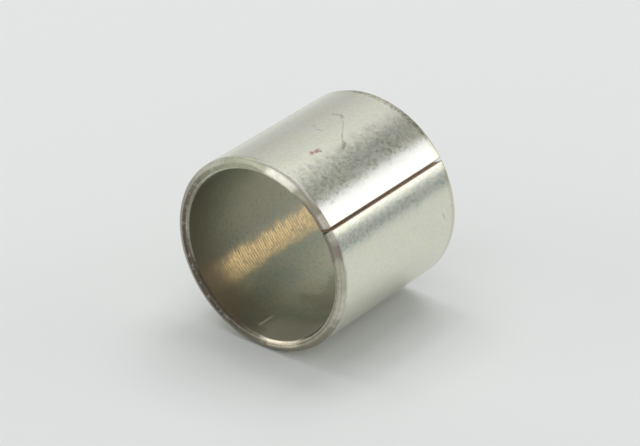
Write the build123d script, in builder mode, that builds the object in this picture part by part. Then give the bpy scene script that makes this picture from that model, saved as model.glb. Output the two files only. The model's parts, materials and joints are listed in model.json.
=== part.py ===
from build123d import *
import os

# Wrapped plain bushing for the small end of a connecting rod.
# A flat strip is rolled to a round with its two ends left a hair apart, so the bushing is a
# C in section with one straight butt joint that runs parallel to the bore. The ends of the strip
# stay a little straighter than the rest, so the joint gapes outside and nearly shuts at the bore.
# Frame: Z is the axis of the bore, z = 0 is the end that it stands on, the joint faces -Y.

# Sizes of the bushing, in millimetres
bore_diameter = 30.0
strip_thickness = 2.0
bushing_length = 30.5

# Width of the open joint at the outside and at the bore
joint_gap = 0.5
joint_gap_at_bore = 0.06

# Outer bevel at each end: how far it reaches in over the end face, and along the outside
outer_bevel_reach = 0.85
outer_bevel_depth = 0.3

# Lead-in bevel at each mouth of the bore: how far it reaches out over the end face, and into the bore
bore_bevel_reach = 0.3
bore_bevel_depth = 0.6

# Corners of the rolled strip, broken where the joint runs out at the two ends
joint_corner = 0.35

# How far the cut for the joint is drawn past the strip, on both sides of it
cut_past = 0.05

# What follows from the sizes
bore_radius = bore_diameter / 2
outer_radius = bore_radius + strip_thickness
flat_inside = bore_radius + bore_bevel_reach
flat_outside = outer_radius - outer_bevel_reach
flare = joint_gap / 2 + joint_corner
cut_inside = bore_radius - cut_past
cut_outside = outer_radius + cut_past


def half_gap_at(radius):
    """Half the width of the joint at this distance from the axis, which grows evenly outwards."""
    way_out = (radius - bore_radius) / strip_thickness
    return (joint_gap_at_bore + way_out * (joint_gap - joint_gap_at_bore)) / 2


# The plane that holds the axis and the middle of the joint, with its x axis out through the joint,
# and the plane square to it, which looks out along -Y
middle_of_joint_plane = Plane(origin=(0, 0, 0), x_dir=(0, -1, 0), z_dir=(-1, 0, 0))
across_joint_plane = Plane(origin=(0, 0, 0), x_dir=(1, 0, 0), z_dir=(0, -1, 0))

with BuildPart() as bushing:
    # The strip in section, with the bevels already on its edges
    with BuildSketch(middle_of_joint_plane):
        with BuildLine():
            Polyline(
                (bore_radius, bore_bevel_depth),
                (flat_inside, 0),
                (flat_outside, 0),
                (outer_radius, outer_bevel_depth),
                (outer_radius, bushing_length - outer_bevel_depth),
                (flat_outside, bushing_length),
                (flat_inside, bushing_length),
                (bore_radius, bushing_length - bore_bevel_depth),
                close=True,
            )
        make_face()

    # Rolled round the bore
    revolve(axis=Axis.Z)

    # The joint, from end to end: a wedge that is a hairline at the bore and wider outside
    with BuildSketch(Plane.XY):
        with BuildLine():
            Polyline(
                (-half_gap_at(cut_inside), -cut_inside),
                (-half_gap_at(cut_outside), -cut_outside),
                (half_gap_at(cut_outside), -cut_outside),
                (half_gap_at(cut_inside), -cut_inside),
                close=True,
            )
        make_face()
    extrude(amount=bushing_length, mode=Mode.SUBTRACT)

    # The broken corners: an even notch, as deep as it is wide on each side, at each end of the joint
    with BuildSketch(across_joint_plane):
        for end, inward in ((0, 1), (bushing_length, -1)):
            with BuildLine():
                Polyline((-flare, end), (0, end + inward * flare), (flare, end), close=True)
            make_face()
    extrude(amount=outer_radius, mode=Mode.SUBTRACT)

bushing.part.label = "bushing"

os.makedirs("parts", exist_ok=True)
export_step(bushing.part, "parts/bushing.step")
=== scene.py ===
# %% [markdown]
# # A wrapped bushing on a pale floor
#
# The object is a plain bushing for the small end of a connecting rod. A flat strip, steel-grey with
# tin outside and lined with bronze inside, was rolled to a round, so one straight joint runs along it.
# It lies on its side on a pale sweep, and a soft light behind it puts one white band along the joint.
#
# The lesson goes in the order in which a studio would work: the frame that holds the real sizes, the
# camera, the floor, the lights, then the rolled strip as a mesh, and last its four finishes.

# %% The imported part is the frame
import json
import math

import bpy
from mathutils import Matrix, Vector, noise


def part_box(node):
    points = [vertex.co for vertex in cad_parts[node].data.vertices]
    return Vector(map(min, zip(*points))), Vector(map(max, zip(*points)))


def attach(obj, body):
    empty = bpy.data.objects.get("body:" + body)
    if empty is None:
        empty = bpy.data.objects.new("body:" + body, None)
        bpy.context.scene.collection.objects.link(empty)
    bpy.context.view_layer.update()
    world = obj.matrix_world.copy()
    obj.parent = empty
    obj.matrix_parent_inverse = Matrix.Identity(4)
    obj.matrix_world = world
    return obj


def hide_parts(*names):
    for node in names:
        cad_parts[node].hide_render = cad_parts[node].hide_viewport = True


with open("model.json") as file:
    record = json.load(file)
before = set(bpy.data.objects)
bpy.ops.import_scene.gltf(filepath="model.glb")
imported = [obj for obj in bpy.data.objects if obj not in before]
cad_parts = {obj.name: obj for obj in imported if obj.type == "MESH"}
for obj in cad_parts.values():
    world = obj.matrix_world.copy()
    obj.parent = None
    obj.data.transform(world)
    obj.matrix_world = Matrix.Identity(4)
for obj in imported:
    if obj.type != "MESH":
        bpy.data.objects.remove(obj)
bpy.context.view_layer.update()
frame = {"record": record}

# %% [markdown]
# ## Sizes
#
# Every length that the part already has is read from the frame, so the mesh can't drift away from it.
# The bore and the outside are mounts in the record, and the box gives the length. What is left over
# between the length and a mount is the depth of the bevels at the two ends. The rest, such as how far
# a bevel reaches in over the end face, isn't in the record, so it is named here at its real size.

# %% Sizes of the strip
MM = 0.001
mounts = {mount["name"]: mount["dims"] for mount in frame["record"]["mounts"]}
low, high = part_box("bushing")
length = high.z - low.z
bore_radius = mounts["bore"]["r_mm"] * MM
outer_radius = mounts["outside"]["r_mm"] * MM
bore_bevel_depth = (length - mounts["bore"]["length_mm"] * MM) / 2
outer_bevel_depth = (length - mounts["outside"]["length_mm"] * MM) / 2
outer_bevel_reach = 0.85 * MM
bore_bevel_reach = 0.3 * MM
joint_gap = 0.5 * MM
joint_gap_at_bore = 0.06 * MM
joint_corner = 0.35 * MM
joint_azimuth = -90.0
print("radius of the outside in mm:", round(outer_radius / MM, 3))
print("radius of the bore in mm:", round(bore_radius / MM, 3))

# %% [markdown]
# ## Which way is up
#
# The part's own frame has the bore upright, but in the picture the bushing lies on its side. Nothing
# is turned for that: the floor and the camera are put where the lying bushing wants them, and the part
# stays where its frame says. One angle says it all, the azimuth of the side that looks away from the
# floor. A second direction, across the axis and level with the floor, is to the left in the picture.

# %% Directions of the studio
up_azimuth = -34.3


def outward(azimuth):
    """The direction square to the bore at this azimuth, in degrees."""
    return Vector((math.cos(math.radians(azimuth)), math.sin(math.radians(azimuth)), 0))


studio_up = outward(up_azimuth)
studio_left = outward(up_azimuth + 90)
bore_axis = Vector((0, 0, 1))
print("away from the floor:", tuple(round(x, 3) for x in studio_up))

# %% [markdown]
# ## Camera
#
# The camera stands half a metre away and a little to the left of the joint, and looks into the near
# end from above. A long lens keeps the two ends almost the same size, as in a product picture taken
# from a distance. Its place is given as a distance and two angles from the middle of the near end,
# and it aims at a point a little down the bore and towards the joint, which leaves the bushing where
# it sits in the picture.

# %% The camera
near_end = Vector((0, 0, length))
camera_distance = 514.36 * MM
camera_azimuth = -81.75
camera_elevation = 42.395
camera_aim = Vector((0.399, -7.582, 22.397)) * MM
camera_lens = 180.5
film_width = 36.0


def facing(eye, target, up):
    """A matrix for something at eye that looks at target, with up upwards in its view."""
    back = (eye - target).normalized()
    right = up.cross(back).normalized()
    turn = Matrix((right, back.cross(right), back)).transposed()
    return Matrix.Translation(eye) @ turn.to_4x4()


rise = math.radians(camera_elevation)
camera_eye = near_end + camera_distance * (
    math.cos(rise) * outward(camera_azimuth) + math.sin(rise) * bore_axis
)
camera = bpy.data.objects.new("camera", bpy.data.cameras.new("camera"))
camera.data.lens = camera_lens
camera.data.sensor_width = film_width
camera.matrix_world = facing(camera_eye, camera_aim, studio_up)
bpy.context.scene.collection.objects.link(camera)
bpy.context.scene.camera = camera
bpy.context.scene.view_settings.view_transform = "Standard"
print("camera above the floor, degrees:", round(math.degrees(math.asin(
    (camera_eye - camera_aim).normalized().dot(studio_up))), 2))

# %% [markdown]
# ## Writing shader maths as sums
#
# A finish is a web of small nodes, and a web is hard to read. So one small class wraps a socket and
# lends it the signs of arithmetic: each sum of wires adds its Math node. Every other node comes from
# one method, which sets the node's settings first and then fills its sockets with values or links.

# %% A wire and a board of nodes
class Wire:
    """An output socket on a board, which can be used in sums."""

    def __init__(self, board, socket):
        self.board = board
        self.socket = socket

    def sum_of(self, operation, first, second):
        return self.board.node("ShaderNodeMath", {"operation": operation}, {0: first, 1: second})

    def __add__(self, other):
        return self.sum_of("ADD", self, other)

    def __sub__(self, other):
        return self.sum_of("SUBTRACT", self, other)

    def __rsub__(self, other):
        return self.sum_of("SUBTRACT", other, self)

    def __mul__(self, other):
        return self.sum_of("MULTIPLY", self, other)

    def __truediv__(self, other):
        return self.sum_of("DIVIDE", self, other)

    __radd__ = __add__
    __rmul__ = __mul__


class Board:
    """The nodes of one material or world."""

    def __init__(self, owner):
        owner.use_nodes = True
        self.tree = owner.node_tree
        self.tree.nodes.clear()

    def node(self, kind, settings=None, sockets=None, output=None):
        """Adds a node: settings first, then its sockets. It gives back one output as a wire."""
        made = self.tree.nodes.new(kind)
        for name, value in (settings or {}).items():
            if name == "stops":
                self.set_stops(made.color_ramp, value)
            else:
                setattr(made, name, value)
        for name, value in (sockets or {}).items():
            open_sockets = [socket for socket in made.inputs if socket.enabled]
            socket = open_sockets[name] if isinstance(name, int) else next(
                found for found in open_sockets if found.name == name)
            if isinstance(value, Wire):
                self.tree.links.new(value.socket, socket)
            else:
                socket.default_value = value
        outputs = [socket for socket in made.outputs if socket.enabled]
        if not outputs:
            return made
        return Wire(self, next(s for s in outputs if output in (None, s.name)))

    def set_stops(self, ramp, stops):
        """A ramp starts with two stops, so the first two are moved and the others added."""
        while len(ramp.elements) < len(stops):
            ramp.elements.new(1.0)
        for element, (position, colour) in zip(ramp.elements, stops):
            element.position = position
            element.color = (*colour, 1.0)


print("boards ready")

# %% [markdown]
# ## Small helpers for all finishes
#
# Some more words make the finishes short: a soft step from 0 to 1, a band made of two such steps, a mix
# of two colours, layers of paint, a cloud of noise and a bump. The noise has its mean near one half, so
# a soft step over it picks out patches, and the two numbers of the step say how large and how sharp
# they are.

# %% Helpers on a board
def of_one(board, operation, value):
    """A Math node that takes one value, such as a root or a sine."""
    return board.node("ShaderNodeMath", {"operation": operation}, {0: value})


def dotted(board, first, second):
    """How far the first vector goes along the second."""
    sockets = {0: first, 1: second}
    return board.node("ShaderNodeVectorMath", {"operation": "DOT_PRODUCT"}, sockets, "Value")


def soft_step(value, start, end):
    """0 at start and 1 at end, with a smooth change between. Start may be above end."""
    first, last = (start, end) if start < end else (end, start)
    out = (0.0, 1.0) if start < end else (1.0, 0.0)
    return value.board.node("ShaderNodeMapRange", {"interpolation_type": "SMOOTHSTEP"}, {
        "Value": value, "From Min": first, "From Max": last, "To Min": out[0], "To Max": out[1]})


def band(value, start, full, fading, end):
    """1 between full and fading, and 0 before start and after end, with smooth changes between."""
    return soft_step(value, start, full) * soft_step(value, end, fading)


def mix_colour(board, share, first, second):
    """The first colour where share is 0 and the second where it is 1."""
    colours = [(*c, 1.0) if isinstance(c, tuple) else c for c in (first, second)]
    return board.node("ShaderNodeMix", {"data_type": "RGBA"}, {
        "Factor": share, "A": colours[0], "B": colours[1]})


def painted(board, colour, layers):
    """The colour under layers of paint, each as (where it lies, its colour, how much it covers)."""
    for where, layer_colour, cover in layers:
        colour = mix_colour(board, where * cover, colour, layer_colour)
    return colour


def cloud(board, place, scale, detail=2.0, roughness=0.5):
    """A cloud of noise with this many patches in a unit of place."""
    return board.node("ShaderNodeTexNoise", None, {
        "Vector": place, "Scale": scale, "Detail": detail, "Roughness": roughness}, "Fac")


def stretched(board, place, amounts, shift=(0.0, 0.0, 0.0)):
    """The place with each axis scaled by an amount, then shifted."""
    return board.node("ShaderNodeVectorMath", {"operation": "MULTIPLY_ADD"}, {
        0: place, 1: amounts, 2: shift})


def bump(board, height, depth, before=None):
    """A normal for a height from 0 to 1, that stands this deep in metres."""
    sockets = {"Strength": 1.0, "Distance": depth, "Height": height}
    if before is not None:
        sockets["Normal"] = before
    return board.node("ShaderNodeBump", None, sockets)


print("helpers ready")

# %% [markdown]
# ## Floor
#
# The bushing rests on a smooth pale sweep. A plain plane under the strip is enough, as long as it
# reaches far past the view, because the polished tin mirrors it up to the horizon. The floor keeps a
# soft shadow from the lamps. From its back it lets the camera through, so that the bushing can be
# looked at from every side. It stays a hair below the strip: where the two shared a line, that line
# showed up bright from behind.

# %% The floor
floor_reach = 3.0
floor_gap = 0.02 * MM
floor_colour = (0.785, 0.8, 0.793)

touch = near_end / 2 - (outer_radius + floor_gap) * studio_up
edge = [touch + floor_reach * (across * studio_left + along * bore_axis)
        for across, along in ((-1, -1), (1, -1), (1, 1), (-1, 1))]
floor_mesh = bpy.data.meshes.new("floor")
floor_mesh.from_pydata(edge, [], [(3, 2, 1, 0)])
if floor_mesh.polygons[0].normal.dot(studio_up) < 0:
    floor_mesh.flip_normals()
floor = bpy.data.objects.new("floor", floor_mesh)
bpy.context.scene.collection.objects.link(floor)

floor_material = bpy.data.materials.new("pale_sweep")
board = Board(floor_material)
camera_ray = board.node("ShaderNodeLightPath", None, None, "Is Camera Ray")
behind = board.node("ShaderNodeNewGeometry", None, None, "Backfacing")
matt = board.node("ShaderNodeBsdfDiffuse", None, {"Color": (*floor_colour, 1.0)})
clear = board.node("ShaderNodeBsdfTransparent")
surface = board.node("ShaderNodeMixShader", None, {0: behind * camera_ray, 1: matt, 2: clear})
board.node("ShaderNodeOutputMaterial", None, {"Surface": surface})
floor_mesh.materials.append(floor_material)
print("floor is right below the strip at", tuple(round(x, 4) for x in touch))

# %% [markdown]
# ## The room
#
# Polished metal shows its room, so the room is part of the look. Going over the bushing from the right
# to the left side, there is a dark line at the horizon, a pale wall, a dark stretch overhead, and then
# a bright wall. The room is drawn as a ramp on the angle about the bore, which is cheap and has no
# noise. The half behind the far end, which the outside mirrors, has its own ramp, and so has the half
# in front, which lights the near end.

# %% The room as two ramps
# Each stop is an angle about the bore from the upper side, and how bright the room is there
room_behind = (
    (-95, 0.15), (-84, 0.29), (-74, 0.6), (-62, 0.9), (-48, 0.36), (-36, 0.36), (-24, 0.4),
    (-12, 0.20), (0, 0.27), (12, 0.54), (26, 0.72), (45, 0.68), (70, 0.54), (95, 0.7),
)
room_in_front = ((-90, 0.54), (-60, 0.67), (-25, 0.71), (10, 0.65), (45, 0.05), (90, 0.19))
room_change = 0.3
room_seen = 0.74

world = bpy.data.worlds.new("room")
bpy.context.scene.world = world
board = Board(world)
direction = board.node("ShaderNodeTexCoord", None, None, "Generated")
turn = board.node("ShaderNodeMath", {"operation": "ARCTAN2"}, {
    0: dotted(board, direction, studio_left), 1: dotted(board, direction, studio_up)}) * (180 / math.pi)
walls = [board.node("ShaderNodeValToRGB", {
    "stops": [((angle + 180) / 360, (level,) * 3) for angle, level in stops]}, {0: turn / 360 + 0.5})
    for stops in (room_behind, room_in_front)]
in_front = soft_step(dotted(board, direction, bore_axis), -room_change, room_change)
camera_ray = board.node("ShaderNodeLightPath", None, None, "Is Camera Ray")
colour = mix_colour(board, camera_ray, mix_colour(board, in_front, *walls), (room_seen,) * 3)
back = board.node("ShaderNodeBackground", None, {"Color": colour, "Strength": 1.0})
board.node("ShaderNodeOutputWorld", None, {"Surface": back})
print("room drawn with", len(room_behind) + len(room_in_front), "stops")

# %% [markdown]
# ## Lamps
#
# A lamp is placed by the angle at which the metal mirrors it: its angle about the bore, and how far it
# leans towards the far end. Each one is a soft rectangle that looks at the bushing, and its power is
# worked out from its area, so the number that is written is its brightness beside a white card of 1.
# The soft box is the white band beside the joint. Two lamps overhead, one towards the far end and one
# to the left, throw the shadow forward and to the right. The last two stand on the viewer's side, and
# are what glints on the two rubbed places of the near end, where painted highlights on the rim add to
# them.

# %% Soft lamps
def soft_lamp(name, angle, lean, distance, size, brightness):
    """A rectangular lamp at this angle about the bore, leaning this far to the far end, in degrees."""
    middle = near_end / 2
    way = math.cos(math.radians(lean)) * outward(up_azimuth + angle)
    way = way - math.sin(math.radians(lean)) * bore_axis
    data = bpy.data.lights.new(name, "AREA")
    data.shape = "RECTANGLE"
    data.size, data.size_y = size
    data.energy = brightness * math.pi * size[0] * size[1]
    lamp = bpy.data.objects.new(name, data)
    lamp.matrix_world = facing(middle + distance * way, middle, bore_axis)
    lamp.visible_camera = False
    bpy.context.scene.collection.objects.link(lamp)
    return lamp


# Each lamp: name, angle and lean in degrees, distance and size in metres, brightness
lamp_rows = (
    ("soft_box", -54, 42.4, 0.9, (0.41, 0.5), 1.0),
    ("lamp_overhead", 0, 22, 1.0, (0.5, 0.5), 3.1),
    ("lamp_overhead_left", 22, 0, 1.0, (0.5, 0.5), 2.5),
    ("lamp_left", 60, -41, 1.0, (0.5, 0.5), 1.6),
    ("lamp_in_front", 73, -66, 0.9, (0.24, 0.3), 2.2),
)
lamps = [soft_lamp(*row) for row in lamp_rows]
print("lamps:", [lamp.name for lamp in lamps])

# %% [markdown]
# ## The rolled strip
#
# The strip could be a plain tube, but what the eye reads as a real bushing is at its edges: the bevels
# with their slightly rounded corners, and the lips of the joint. So the section is drawn as a closed
# outline with an arc at each corner, and the mesh is that outline carried round the bore, stopping
# short at the joint. The arcs get larger and smaller on their way round, as a deburred edge does. In
# the photo the near end glints in two places, which the plain edges didn't do in test renders, so there
# it is shown rubbed down further: at the outer edge beside the top, and at the mouth of the bore down
# by the floor.

# %% The outline of the section
LINING, RIM, SKIN, JOINT = range(4)
# Each corner, from the bore at the far end to the bore at the near end: how far it is rounded, the
# finish of its arc, and the finish of the side that follows
corner_rows = (
    (0.25 * MM, LINING, RIM),
    (0.14 * MM, RIM, RIM),
    (0.6 * MM, RIM, RIM),
    (0.55 * MM, SKIN, SKIN),
    (0.62 * MM, RIM, RIM),
    (0.7 * MM, RIM, RIM),
    (0.48 * MM, RIM, RIM),
    (0.25 * MM, LINING, LINING),
)
arc_steps = 5

# Each rounding goes from 0.7 to 1.3 times its size over a few millimetres, by noise of its own
least_rounding = 0.7
rounding_spread = 0.6
uneven_pitch = 3.5 * MM
noise_apart = 7.3

# The two rubbed places of the near end, at the outer edge and at the mouth of the bore
rubbed_azimuth = up_azimuth - 16
rubbed_reach = 0.5 * MM
rubbed_depth = 0.27 * MM
worn_azimuth = up_azimuth - 164
worn_reach = 0.3 * MM
worn_rise = 0.25 * MM
# How far both go to either side, and over how much of that they fade, in degrees
rubbed_half_width = 22.0
rubbed_fade = 12.0


def unevenness(azimuth, seed):
    """A smooth number from 0 to 1 that wanders with the azimuth and meets itself after a full turn."""
    way = outward(math.degrees(azimuth)) * (outer_radius / uneven_pitch)
    return 0.5 + 0.5 * noise.noise(way + Vector((0, 0, noise_apart * seed)))


def rubbed(azimuth, middle):
    """1 round the middle of a rubbed place and 0 beyond its half width, with a smooth change."""
    away = abs((math.degrees(azimuth) - middle + 180) % 360 - 180)
    share = min(1.0, max(0.0, (rubbed_half_width - away) / rubbed_fade))
    return share * share * (3 - 2 * share)


def corners_at(azimuth):
    """The eight corners of the section here, as radius and height, from the far to the near end."""
    inner = bore_radius + bore_bevel_reach
    off_outer = rubbed(azimuth, rubbed_azimuth)
    off_inner = rubbed(azimuth, worn_azimuth)
    reach = outer_bevel_reach + rubbed_reach * off_outer
    depth = outer_bevel_depth + rubbed_depth * off_outer
    return [Vector(corner) for corner in (
        (bore_radius, bore_bevel_depth), (inner, 0.0),
        (outer_radius - outer_bevel_reach, 0.0), (outer_radius, outer_bevel_depth),
        (outer_radius, length - depth), (outer_radius - reach, length),
        (inner + worn_reach * off_inner, length),
        (bore_radius, length - bore_bevel_depth + worn_rise * off_inner),
    )]


def section_outline(azimuth):
    """The outline at this azimuth as (radius, height, zone of the edge that follows)."""
    points = corners_at(azimuth)
    outline = []
    for i, (rounding, zone_of_arc, zone_after) in enumerate(corner_rows):
        corner, before, after = points[i], points[i - 1], points[(i + 1) % len(points)]
        to_before, to_after = (before - corner).normalized(), (after - corner).normalized()
        half = to_before.angle(to_after) / 2
        half_side = min((before - corner).length, (after - corner).length) / 2
        wanted = rounding * (least_rounding + rounding_spread * unevenness(azimuth, i))
        size = min(wanted, half_side * math.tan(half))
        centre = corner + (to_before + to_after).normalized() * (size / math.sin(half))
        start = corner + to_before * (size / math.tan(half)) - centre
        end = corner + to_after * (size / math.tan(half)) - centre
        first = math.atan2(start.y, start.x)
        sweep = (math.atan2(end.y, end.x) - first + math.pi) % (2 * math.pi) - math.pi
        for step in range(arc_steps + 1):
            spoke = first + sweep * step / arc_steps
            zone = zone_of_arc if step < arc_steps else zone_after
            radius, height = centre + size * Vector((math.cos(spoke), math.sin(spoke)))
            outline.append((radius, height, zone))
    return outline


print("points on the outline:", len(section_outline(0.0)))

# %% [markdown]
# ## Carrying the outline round
#
# The outline is repeated every half degree, and much closer beside the joint. There the outline is
# drawn in by a hair towards each lip, which rounds it, and the corners at both ends are broken at
# 45 degrees, as in the part. The joint gapes outside and nearly shuts at the bore, so each point is
# also turned by an amount that goes with its radius, and the two last outlines lie on the faces of the
# joint. The long straight sides get a few points in between, so that the shading of the small arcs
# doesn't bleed over the whole length.

# %% The mesh of the strip
turn_step = math.radians(0.5)
sharp_from = math.radians(35)
lip_rounding = 0.09 * MM
# Where the outlines beside the joint lie, as distances from the lip
near_lip = [s * MM for s in (
    0, 0.01, 0.02, 0.03, 0.045, 0.065, 0.09, 0.13, 0.18, 0.24, 0.3, 0.35, 0.4, 0.5, 0.65, 0.8, 1.0)]
# Where the extra points of a long side lie, as shares of its length
side_parts = (0.004, 0.02, 0.1, 0.25, 0.5, 0.75, 0.9, 0.98, 0.996)


def with_side_points(outline):
    """The outline with more points on its two long sides."""
    longer = []
    for i, (radius, height, zone) in enumerate(outline):
        longer.append((radius, height, zone))
        next_radius, next_height, _ = outline[(i + 1) % len(outline)]
        outwards, upwards = next_radius - radius, next_height - height
        if abs(upwards) > length / 2:
            longer += [(radius + part * outwards, height + part * upwards, zone) for part in side_parts]
    return longer


def drawn_in(outline, from_lip):
    """The outline at this distance from the lip of the joint: rounded lip and broken corners."""
    bare = max(0.0, lip_rounding - from_lip)
    lip = lip_rounding - math.sqrt(lip_rounding ** 2 - bare ** 2)
    end = max(0.0, joint_corner - from_lip) + lip
    return [(min(max(radius, bore_radius + lip), outer_radius - lip),
             min(max(height, end), length - end), zone) for radius, height, zone in outline]


def half_gap_turn(radius):
    """Half the angle that the joint takes up at this radius."""
    way_out = (radius - bore_radius) / (outer_radius - bore_radius)
    return (joint_gap_at_bore + way_out * (joint_gap - joint_gap_at_bore)) / radius / 2


half_gap = half_gap_turn(outer_radius)
first_turn = math.radians(joint_azimuth) + half_gap
last_turn = math.radians(joint_azimuth + 360) - half_gap
whole_turn = last_turn - first_turn
near_turns = [s / outer_radius for s in near_lip]
plain_turn = whole_turn - 2 * near_turns[-1]
count = round(plain_turn / turn_step)
turns = near_turns + [near_turns[-1] + plain_turn * i / count for i in range(1, count)]
turns += [whole_turn - turned for turned in reversed(near_turns)]

vertices, faces, zones = [], [], []
for turned in turns:
    azimuth = first_turn + turned
    from_lip = min(turned, whole_turn - turned) * outer_radius
    outline = drawn_in(with_side_points(section_outline(azimuth)), from_lip)
    for radius, height, _ in outline:
        closing = (1 - 2 * turned / whole_turn) * (half_gap - half_gap_turn(radius))
        vertices.append((*radius * outward(math.degrees(azimuth - closing)).xy, height))
around = len(outline)
for i in range(len(turns) - 1):
    for j in range(around):
        k = (j + 1) % around
        faces.append((i * around + j, i * around + k, (i + 1) * around + k, (i + 1) * around + j))
        zones.append(outline[j][2])
faces.append(tuple(reversed(range(around))))
faces.append(tuple(len(vertices) - around + j for j in range(around)))
zones += [JOINT, JOINT]

strip_mesh = bpy.data.meshes.new("rolled_strip")
strip_mesh.from_pydata(vertices, [], faces)
strip_mesh.polygons.foreach_set("material_index", zones)
strip_mesh.shade_smooth()
strip_mesh.set_sharp_from_angle(angle=sharp_from)
strip_mesh.update()
strip = bpy.data.objects.new("rolled_strip", strip_mesh)
bpy.context.scene.collection.objects.link(strip)
print("rolled strip:", len(vertices), "points,", len(faces), "faces")

# %% [markdown]
# ## Where on the strip
#
# Wear and stains sit at places on the strip, so each finish first asks where it is. The object's own
# coordinates give that: how far round from the upper side, how deep from the near end, and how far
# from the axis, all in degrees and millimetres. They are the part's own, so the marks stay on the
# metal when the view changes.

# %% Place on the strip
class Place:
    """Where a point of the strip is: its place, radius and depth in millimetres, and its angle."""

    def __init__(self, board):
        self.board = board
        self.point = board.node("ShaderNodeVectorMath", {"operation": "SCALE"}, {
            "Vector": board.node("ShaderNodeTexCoord", None, None, "Object"), "Scale": 1 / MM})
        across = dotted(board, self.point, studio_left)
        upwards = dotted(board, self.point, studio_up)
        self.radius = of_one(board, "SQRT", across * across + upwards * upwards)
        self.angle = board.node("ShaderNodeMath", {"operation": "ARCTAN2"}, {
            0: across, 1: upwards}) * (180 / math.pi)
        self.depth = length / MM - dotted(board, self.point, bore_axis)

    def away_from(self, middle, jitter=0.0):
        """How many degrees round the bore it is from here to this angle, to either side."""
        return of_one(self.board, "ABSOLUTE", self.board.node("ShaderNodeMath", {"operation": "WRAP"}, {
            0: self.angle + jitter - middle, 1: 180.0, 2: -180.0}))

    def sector(self, middle, half_width, softness, jitter=0.0):
        """1 within half_width degrees of this angle round the bore, fading over softness degrees."""
        return soft_step(self.away_from(middle, jitter), half_width + softness, half_width)


def metal(board, colour, roughness, normal):
    """A metal surface from what varies over it."""
    return board.node("ShaderNodeBsdfPrincipled", None, {
        "Base Color": colour, "Roughness": roughness, "Metallic": 1.0, "Normal": normal})


def finish_with(board, surface):
    """The end of a board: what the surface of the material is."""
    board.node("ShaderNodeOutputMaterial", None, {"Surface": surface})


print("place on the strip ready")

# %% [markdown]
# ## Single marks
#
# A used or handled bushing has a few marks that the eye finds at once: a fine scratch, a reddish
# speck, a dark dot. Noise can't put a mark where it belongs, so each one is a short line on the
# unrolled strip, from one angle and depth to another. What is needed is the distance to that line: the
# nearest point of the line is found by its share of the way along it, held between 0 and 1. A little
# noise added to the place first makes the line waver.

# %% A mark on the unrolled strip
# The share of a mark's width, to either side of its line, where it covers fully
mark_core = 0.15


def mark(place, radius, start, end, width, waver, ragged):
    """1 on a line from start to end, each an angle in degrees and a depth in mm, fading at its edge."""
    board = place.board
    arc = math.radians(1.0) * radius
    across, along = (end[0] - start[0]) * arc, end[1] - start[1]
    from_start = (place.angle - start[0]) * arc + (waver - 0.5) * ragged
    down = place.depth - start[1] + (waver - 0.5) * ragged
    squared = across ** 2 + along ** 2
    share = board.node("ShaderNodeMath", {"operation": "MULTIPLY_ADD", "use_clamp": True}, {
        0: from_start, 1: across / squared, 2: down * (along / squared)})
    off_across = from_start - share * across
    off_along = down - share * along
    distance = of_one(board, "SQRT", off_across * off_across + off_along * off_along)
    return soft_step(distance, width, width * mark_core)


print("marks ready")

# %% [markdown]
# ## Tin on the outside
#
# The outside has a thin flash of tin, which is satin and a little yellow beside chrome. Its colour is
# nearly even, and what moves over it is mostly the room. So the finish is a metal of nearly one colour
# with a faint unevenness in its roughness and its height. Over it lie the things that happened to it:
# dark specks at the far edge, brown at the lips of the joint, a fine scratch with a smudge at each end,
# and a reddish speck. Other layers are painted light and shade: a darker border at the near end, partly
# an olive tone and partly painted shade that holds back the lamps' highlight line along the edge, a
# whiter tint as painted highlight in the white band, and dark grey and blue-green blotches as painted
# reflection in the two dark bands, where the tin mirrors the dark stretch overhead and the dark line at
# the horizon.

# %% Tin
tin_colour = (0.80, 0.80, 0.69)
tin_yellow = (0.80, 0.80, 0.65)
tin_grey = (0.77, 0.775, 0.70)
tin_dull = (0.68, 0.69, 0.60)
painted_dark_reflection = (0.40, 0.45, 0.34)
painted_blue_reflection = (0.51, 0.61, 0.57)
tin_edge = (0.50, 0.49, 0.39)
painted_band_tint = (0.80, 0.80, 0.76)
tin_roughness = 0.235
outer_mm = outer_radius / MM
joint_angle = joint_azimuth - up_azimuth

tin_material = bpy.data.materials.new("tin_skin")
board = Board(tin_material)
place = Place(board)
fine = cloud(board, place.point, scale=1.3)
broad = cloud(board, place.point, scale=0.35)
waver = cloud(board, place.point, scale=0.9, detail=3.0, roughness=0.6)
grainy_place = stretched(board, place.point, (1.7, 1.7, 1.4), shift=(31.0, 7.0, 12.0))
grainy = cloud(board, grainy_place, scale=1.0, detail=4.0, roughness=0.75)
speckled_place = stretched(board, place.point, (2.2, 2.2, 2.2), shift=(3.0, 17.0, 2.0))
speckled = cloud(board, speckled_place, scale=1.0)

# A darker border at the near end: partly an olive tone, partly painted shade that holds back the lamps'
# highlight line along the edge. It stays off the glint.
edge_tone_and_shade = soft_step(place.depth + waver * 1.2, 2.0, 1.1) * (1 - place.sector(-15.5, 9, 8))
patchy = soft_step(grainy, 0.45, 0.60) * (soft_step(broad, 0.3, 0.6) * 0.6 + 0.4)
spread = (broad - 0.5) * 24 + (grainy - 0.5) * 16
to_far_end = soft_step(place.depth, 0.0, 16.0) * 0.42 + 0.5 - soft_step(place.depth, 19.0, 26.0) * 0.6

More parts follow.
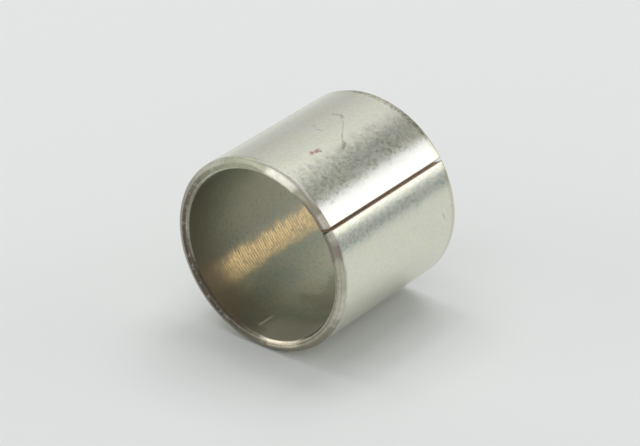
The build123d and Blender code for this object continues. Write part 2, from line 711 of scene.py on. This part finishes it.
# From the lowest layer to the topmost: where it lies, its colour, how much it covers
tin_layers = (
    (soft_step(broad, 0.45, 0.7), tin_yellow, 1.0),
    (soft_step(waver, 0.5, 0.75), tin_grey, 0.7),
    (soft_step(speckled, 0.42, 0.68), tin_dull, 0.5),
    # Painted shade and olive tone at the near edge
    (edge_tone_and_shade, tin_edge, 0.7),
    # Whiter tint in the white band beside the joint: painted highlight
    (place.sector(-47, 5, 4), painted_band_tint, 1.0),
    # Dark grey and blue-green blotches in the two dark bands, where the tin mirrors the dark stretch
    # overhead and the dark line at the horizon: painted reflection
    (patchy * place.sector(-31, 4, 9, spread) * to_far_end, painted_dark_reflection, 1.0),
    (soft_step(waver, 0.50, 0.60) * place.sector(-28, 6, 8, spread * 0.4), painted_dark_reflection, 0.3),
    (patchy * place.sector(joint_angle - 10, 2.5, 4.5, spread * 0.2), painted_blue_reflection, 1.0),
)
colour = painted(board, tin_colour, tin_layers)
roughness = tin_roughness + 0.03 * fine
print("tin mixed with", len(tin_layers), "layers")

# %% Marks on the tin
tin_dark = (0.26, 0.25, 0.20)
tin_smudge = (0.50, 0.49, 0.42)
tin_red = (0.38, 0.19, 0.14)
tin_pink = (0.60, 0.46, 0.38)
tin_worn = (0.62, 0.59, 0.43)
lip_brown = (0.40, 0.33, 0.26)
fine_relief = 0.005 * MM
broad_relief = 0.03 * MM
tin_raggedness = 0.9

# Each mark: from and to as (angle in degrees, depth in mm), how far it reaches to either side in mm,
# its colour, how much it covers
tin_marks = (
    ((-2.0, 20.8), (-8.0, 19.0), 0.26, tin_smudge, 0.45),
    ((-8.0, 19.0), (-13.9, 16.4), 0.24, tin_smudge, 0.55),
    ((-13.9, 16.4), (-18.6, 15.0), 0.26, tin_smudge, 0.7),
    ((2.5, 20.5), (-1.0, 20.9), 0.5, tin_smudge, 0.65),
    ((-1.2, 20.9), (-3.0, 20.6), 0.6, tin_smudge, 0.85),
    ((-19.2, 15.0), (-22.2, 13.4), 0.55, tin_smudge, 0.8),
    ((-20.2, 15.0), (-22.0, 13.6), 0.4, tin_dark, 0.55),
    ((-21.6, 9.8), (-23.4, 10.6), 0.55, tin_smudge, 0.6),
    ((-14.1, 8.5), (-15.0, 10.0), 0.7, tin_pink, 0.9),
    ((-14.4, 8.4), (-14.8, 9.9), 0.42, tin_red, 0.7),
    ((-13.8, 10.3), (-16.0, 10.0), 0.4, tin_red, 0.8),
    ((-0.6, 14.7), (-3.8, 14.9), 0.26, tin_smudge, 0.6),
    ((5.4, 15.5), (1.8, 15.3), 0.22, tin_smudge, 0.5),
    ((-84.5, 26.9), (-87.4, 27.1), 0.14, tin_dark, 0.7),
    ((-88.1, 25.7), (-88.5, 26.0), 0.16, tin_dark, 0.8),
    ((-82.0, 29.2), (-84.5, 29.3), 0.16, tin_dark, 0.7),
)
broken = soft_step(speckled, 0.3, 0.56) * 0.75 + 0.25
for start, end, width, mark_colour, cover in tin_marks:
    shape = mark(place, outer_mm, start, end, width, waver, tin_raggedness)
    colour = mix_colour(board, shape * broken * cover, colour, mark_colour)

far_edge = soft_step(place.depth + speckled * 0.8, 29.3, 29.9) * soft_step(place.depth, 30.2, 29.9)
far_specks = soft_step(speckled, 0.40, 0.60) * soft_step(place.depth + waver, 29.3, 30.0)
from_joint = place.away_from(joint_angle) * (math.radians(1.0) * outer_mm)
colour = painted(board, colour, (
    (far_edge, tin_worn, 0.6),
    (far_specks * place.sector(-14, 24, 8), tin_dark, 0.7),
    (soft_step(from_joint, 0.44, 0.3), lip_brown, 1.0),
))
normal = bump(board, fine, fine_relief, bump(board, broad, broad_relief))
finish_with(board, metal(board, colour, roughness, normal))
print("marks on the tin:", len(tin_marks))

# %% [markdown]
# ## The cut rim
#
# The end faces were cut and then deburred, so they are bare metal with fine streaks across the edge
# and darker lines along it. This metal has tarnished, and not evenly: it is brown on the left side, a
# dull purple-brown beside the joint, and grey elsewhere. Some patches are painted light and shade: a
# painted glint where the outer edge was rubbed near the top, with the arc over it darkened to soften
# the lamp's line; painted highlights at the rubbed mouth of the bore by the floor and beside the joint;
# painted highlight and reflection along the mouth on the upper left; and painted shade on the lower
# bevel by the floor. A ramp round the whole rim could hold that, but a list of patches, each with its
# place and colour, is easier to read and to move. The streaks and lines come from noise that is asked
# for the direction from the axis and the distance to it: a short step in one of the two, and a long
# step in the other. The patches stay on the near rim, since the photo doesn't show the face of the far
# one.

# %% Parts of the rim
rim_metal = (0.44, 0.42, 0.33)
rim_pale = (0.54, 0.52, 0.42)
rim_olive = (0.35, 0.33, 0.25)
rim_lilac = (0.38, 0.36, 0.31)
rim_brown = (0.10, 0.08, 0.058)
rim_purple = (0.27, 0.22, 0.18)
painted_rim_glint = (0.95, 0.92, 0.80)
painted_cream_highlight = (0.98, 0.90, 0.70)
painted_rim_highlight_line = (0.90, 0.89, 0.80)
rim_whitish = (0.82, 0.85, 0.69)
rim_light = (0.64, 0.62, 0.53)
rim_green = (0.46, 0.48, 0.35)
dimmed_glint_arc = (0.52, 0.51, 0.45)
painted_pink_highlight = (0.72, 0.65, 0.56)
rim_grey = (0.29, 0.275, 0.235)
rim_worn = (0.26, 0.24, 0.185)

rim_material = bpy.data.materials.new("cut_rim")
board = Board(rim_material)
place = Place(board)
spoke = board.node("ShaderNodeVectorMath", {"operation": "NORMALIZE"}, {
    0: stretched(board, place.point, (1.0, 1.0, 0.0))})


def rim_cloud(pitch, across):
    """Noise with a patch about every pitch mm along the rim, and across of them in each mm outwards."""
    outwards = board.node("ShaderNodeCombineXYZ", None, {"Z": place.radius * across})
    on_rim = board.node("ShaderNodeVectorMath", {"operation": "MULTIPLY_ADD"}, {
        0: spoke, 1: (outer_mm / pitch,) * 3, 2: outwards})
    return cloud(board, on_rim, scale=1.0, detail=3.0, roughness=0.6)


streaks = rim_cloud(pitch=0.8, across=0.45)
lines = rim_cloud(pitch=5.0, across=2.2)
blotchy = cloud(board, place.point, scale=0.5, detail=3.0, roughness=0.6)
specks = cloud(board, place.point, scale=1.3, detail=3.0, roughness=0.65)
chipped = 1 - soft_step(specks, 0.53, 0.62) * 0.6
jitter = (blotchy - 0.5) * 26 + (streaks - 0.5) * 14

# The rings of the end, from the outer bevel to the mouth of the bore, by their radius in mm
outer_part = soft_step(place.radius, 16.62, 16.86)
outer_line = band(place.radius, 16.32, 16.45, 16.5, 16.65)
flat_part = soft_step(place.radius, 16.3, 15.95)
bevel_part = 1 - flat_part
mid_line = band(place.radius, 15.45, 15.6, 15.68, 15.85)
inner_half = soft_step(place.radius, 15.95, 15.6)
inner_part = soft_step(place.radius, 15.45, 15.25)
mid_part = flat_part * (1 - inner_part)
edge_line = soft_step(place.radius, 15.24, 15.1)

# The brown of the left side, on the flat ring and at the mouth of the bore, by its angle in degrees
brown_side = band(place.angle + jitter, -10, 105, 145, 190) * chipped
brown_bore = band(place.angle + jitter, 72, 118, 165, 195)
print("parts of the rim ready")

# %% Patches on the near rim
rim_roughness = 0.34
rim_relief = 0.005 * MM
nick_depth = 0.02 * MM
near_half = soft_step(place.depth, length / MM * 0.5, length / MM * 0.4)

# From the lowest patch to the topmost: where it lies, its colour, how much it covers
rim_patches = (
    (bevel_part, rim_pale, 0.6),
    (place.sector(22, 24, 12, jitter), rim_green, 0.8),
    (bevel_part * place.sector(-108, 6, 10, jitter), rim_light, 1.0),
    (bevel_part * place.sector(47, 14, 14, jitter), rim_light, 1.0),
    (place.sector(115, 55, 22, jitter), rim_lilac, 0.9),
    (bevel_part * place.sector(148, 16, 16, jitter), rim_grey, 0.9),
    (outer_part * place.sector(25, 34, 14, jitter), rim_whitish, 0.3),
    # Darker on the lower bevel by the floor: painted shade
    (bevel_part * place.sector(-166, 42, 16, jitter), rim_olive, 1.0),
    (flat_part * place.sector(178, 6, 10, jitter), rim_olive, 0.9),
    (place.sector(-38, 8, 5, jitter * 0.3), rim_olive, 0.9),
    (mid_part * brown_side, rim_brown, 1.0),
    (inner_part * brown_bore, rim_brown, 1.0),
    # A light line along the mouth of the bore on the upper left, over this patch and the next two:
    # painted reflection and painted highlight
    (inner_part * place.sector(24, 26, 14, jitter), rim_whitish, 0.95),
    (inner_part * place.sector(72, 14, 12, jitter), rim_pale, 0.7),
    (edge_line * place.sector(92, 16, 18, jitter * 0.5) * chipped, painted_rim_highlight_line, 0.3),
    (mid_line * place.sector(-110, 40, 14, jitter), rim_worn, 0.7),
    (outer_line * place.sector(-110, 40, 14, jitter), rim_worn, 0.35),
    (flat_part * place.sector(joint_angle - 3, 14, 5, jitter * 0.4), rim_grey, 0.9),
    (inner_half * place.sector(joint_angle, 18, 5, jitter * 0.4), rim_purple, 1.0),
    (place.sector(-68, 2, 7, jitter * 0.4), rim_purple, 0.7),
    # Pinkish light beside the joint, on the bevel and the outer edge: painted highlight
    (bevel_part * place.sector(-50, 2.5, 3), painted_pink_highlight, 0.9),
    (outer_part * place.sector(-59, 1.5, 3), painted_pink_highlight, 0.8),
    # The glint where the outer edge was rubbed near the top: painted highlight over the lamp's own, and
    # the outer arc over it darkened, a painted shade that keeps the lamp's line there soft
    ((1 - flat_part * 0.3) * place.sector(-15.5, 7.5, 6, jitter * 0.3), painted_rim_glint, 1.0),
    (outer_part * place.sector(-18, 18, 10), dimmed_glint_arc, 1.0),
    # Cream at the rubbed mouth of the bore by the floor: painted highlight over the lamp's own glint,
    # broken by real pits
    (flat_part * place.sector(-164, 5, 13, jitter) * chipped, painted_cream_highlight, 1.0),
    (inner_part * place.sector(-160, 12, 12, jitter * 0.4), painted_cream_highlight, 1.0),
    (mid_part * place.sector(-168, 9, 7, jitter) * soft_step(lines, 0.46, 0.56), rim_worn, 0.35),
)
colour = mix_colour(board, soft_step(streaks, 0.35, 0.65), rim_metal, rim_pale)
colour = mix_colour(board, soft_step(lines, 0.5, 0.62) * 0.4, colour, rim_worn)
colour = painted(board, colour, [(near_half * where, *paint) for where, *paint in rim_patches])
colour = mix_colour(board, soft_step(specks, 0.54, 0.40) * 0.16, colour, rim_worn)
dulled = inner_part * place.sector(38, 38, 12) * 0.34 + outer_part * place.sector(5, 50, 15) * 0.22
roughness = rim_roughness + 0.1 * streaks + dulled
nicks = soft_step(blotchy, 0.56, 0.64) * place.sector(-165, 30, 15)
normal = bump(board, streaks * 0.5 + lines, rim_relief, bump(board, nicks, nick_depth))
finish_with(board, metal(board, colour, roughness, normal))
print("rim painted with", len(rim_patches), "patches")

# %% [markdown]
# ## The bored lining
#
# The lining has fine marks round it, as boring leaves them. Their tops are polished bronze and the rest
# is under a dull grey film. That is why the bore looks grey nearly all over, and golden in one strip,
# where it mirrors the soft box through the far end. So the finish is two in one, and the boring marks
# choose: smooth and bronze on their tops, rough and grey between. The marks are noise drawn out round
# the bore, with a regular wave along the axis for the feed of the tool. The mirror alone leaves the
# strip dimmer than in the photo, so one sector with a ragged border is given more bronze, with a golden
# blotch towards the mouth and dark specks over the strip. That added bronze is a painted reflection of
# the soft box: a painter's choice, and it keeps the gold out of the rest of the bore.

# %% The film over the bore
film_colour = (0.39, 0.405, 0.315)
film_green = (0.35, 0.395, 0.315)
film_dark = (0.20, 0.19, 0.14)
film_pale = (0.55, 0.54, 0.45)
film_brown = (0.27, 0.21, 0.14)
scratch_colour = (0.75, 0.70, 0.55)
scratch_from = (171.8, 2.3)
scratch_to = (171.7, 6.6)
scratch_width = 0.34
scratch_raggedness = 0.5
tool_feed = 0.56
bore_mm = bore_radius / MM

lining_material = bpy.data.materials.new("bored_lining")
board = Board(lining_material)
place = Place(board)
grain = cloud(board, stretched(board, place.point, (0.9, 0.9, 3.6)), scale=1.0, roughness=0.55)
waver = cloud(board, place.point, scale=0.35)
pitted_place = stretched(board, place.point, (1.5, 1.5, 3.4), shift=(5.0, 9.0, 2.0))
pitted = cloud(board, pitted_place, scale=1.0, roughness=0.6)
feed = of_one(board, "SINE", place.depth * (2 * math.pi / tool_feed) + waver * 5.0 + pitted * 4.0)
marks = grain * 0.3 + pitted * 0.54 + feed * 0.10 + 0.08
polished = soft_step(marks, 0.38, 0.64)

wander = waver - 0.5
ragged = wander * 12 + (grain - 0.5) * 10
# The sector where the bore mirrors the soft box: its added bronze is painted reflection
mirrored_strip_boost = place.sector(129, 4.5, 6.5, ragged) * soft_step(place.depth, 1.0, 12.5)
over_strip = place.sector(113, 10, 10) * soft_step(place.depth, 6.0, 12.0)
near_mouth = soft_step(place.depth + waver * 3, 13.0, 2.0) * place.sector(112, 50, 25)
# Paler in a patch low on the right, towards the mouth
paler_patch = place.sector(205, 16, 20, wander * 30) * soft_step(place.depth, 9.0, 5.0)
browned = place.sector(138, 14, 12, wander * 20) * soft_step(place.depth, 9.0, 2.0)
scratch = mark(place, bore_mm, scratch_from, scratch_to, scratch_width, waver, scratch_raggedness)
fading = band(place.depth, 2.0, 3.2, 5.0, 7.0)
deep_left = place.sector(101, 14, 16) * soft_step(place.depth, 8.0, 15.0)
# Darker in a patch deep in the bore, near the bottom
darker_patch = place.sector(186, 7, 8, wander * 30) * soft_step(place.depth, 11.0, 14.5)

# From the lowest layer to the topmost: where it lies, its colour, how much it covers
film_layers = (
    (soft_step(waver, 0.4, 0.62), film_green, 1.0),
    (soft_step(grain, 0.45, 0.7), film_dark, 0.2),
    (soft_step(pitted, 0.52, 0.66) * (0.3 + 0.45 * over_strip), film_dark, 1.0),
    (near_mouth, film_dark, 0.9),
    (paler_patch, film_pale, 0.8),
    (browned, film_brown, 0.6),
    (scratch * fading, scratch_colour, 0.85),
    (mirrored_strip_boost * (1 - polished), film_dark, 0.45),
    (deep_left, film_pale, 0.4),
    (darker_patch, film_dark, 0.45),
)
film = painted(board, film_colour, film_layers)
print("film laid in", len(film_layers), "layers")

# %% Bronze that shows through the film
bronze_colour = (0.90, 0.62, 0.27)
film_roughness = 0.62
bronze_roughness = 0.2
boring_relief = 0.010 * MM
# How much bronze shows: all over, on the tops of the marks, in the mirrored strip's sector, on the tops
# there, and in the golden blotch. The bronze of that sector and of the blotch is painted reflection.
bare_anywhere = 0.045
bare_tops = 0.02
bare_in_mirrored_strip = 0.09
bare_on_mirrored_tops = 0.27
bare_golden = 0.12

at_mouth = band(place.depth, 4.0, 7.0, 8.0, 11.5)
# A golden blotch towards the mouth in the same strip: painted reflection as well
golden = place.sector(137, 7, 9, ragged) * at_mouth * (0.3 + 0.7 * polished)
in_sector = mirrored_strip_boost * (bare_in_mirrored_strip + bare_on_mirrored_tops * polished)
share = bare_anywhere + bare_tops * polished + in_sector + golden * bare_golden
normal = bump(board, marks, boring_relief)
dull = metal(board, film, film_roughness, normal)
bare = metal(board, (*bronze_colour, 1.0), bronze_roughness, normal)
finish_with(board, board.node("ShaderNodeMixShader", None, {0: share, 1: dull, 2: bare}))
print("lining bored")

# %% [markdown]
# ## The faces of the joint
#
# The two faces that look at each other across the joint are rough, as shearing leaves them. Hardly any
# light reaches them, so the colours written here are light and warm, and what is seen is a dark brown.

# %% Faces of the joint
joint_light = (0.95, 0.83, 0.70)
joint_dark = (0.78, 0.67, 0.56)
joint_roughness = 0.55
joint_relief = 0.01 * MM

joint_material = bpy.data.materials.new("joint_faces")
board = Board(joint_material)
place = Place(board)
sheared_place = stretched(board, place.point, (0.8, 0.8, 3.0))
sheared = cloud(board, sheared_place, scale=1.0, detail=3.0, roughness=0.6)
colour = mix_colour(board, sheared, joint_dark, joint_light)
finish_with(board, metal(board, colour, joint_roughness, bump(board, sheared, joint_relief)))
print("joint faces done")

# %% [markdown]
# ## Dressing the strip
#
# Each face of the mesh already knows its zone, so the four finishes only go into the slots in that
# order. The strip stands for the part's one solid: it rides on the same body and takes its place.

# %% Dressing the strip
by_zone = {LINING: lining_material, RIM: rim_material, SKIN: tin_material, JOINT: joint_material}
for zone in range(len(by_zone)):
    strip_mesh.materials.append(by_zone[zone])
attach(strip, "root")
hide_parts("bushing")
print("dressed:", strip.name, "with", len(strip_mesh.materials), "finishes")
